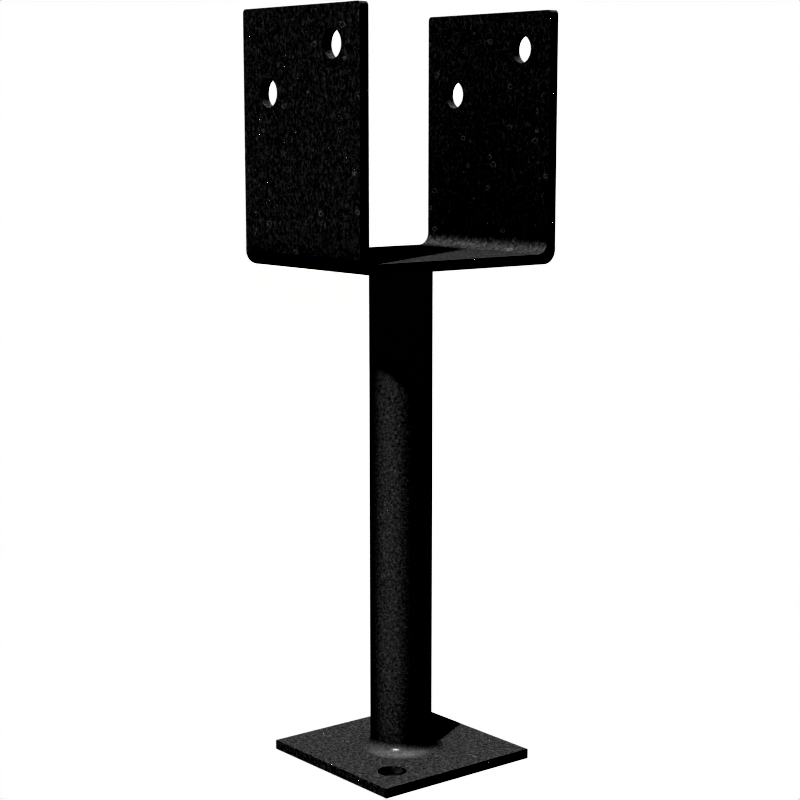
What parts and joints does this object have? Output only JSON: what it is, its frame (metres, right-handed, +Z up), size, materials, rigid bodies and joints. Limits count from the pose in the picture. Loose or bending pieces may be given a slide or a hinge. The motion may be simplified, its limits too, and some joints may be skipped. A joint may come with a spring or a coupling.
{
  "type": "u bracket",
  "caption": "Bolt-down post support: a folded steel U with cross-bolt holes, on a round stem welded to a square foot plate.",
  "frame": {"origin": "centre of the foot plate's underside, where the stem's axis meets the ground", "axes": "+Z up along the stem, X from leg to leg, Y along the folds of the stirrup"},
  "size_m": [0.131, 0.1, 0.4065],
  "materials": {
    "black_coating": "fine-textured black powder coat, low sheen"
  },
  "bodies": {
    "root": {"stirrup": "black_coating", "stem": "black_coating", "base_plate": "black_coating", "foot_weld": "black_coating", "head_weld": "black_coating"}
  },
  "joints": []
}
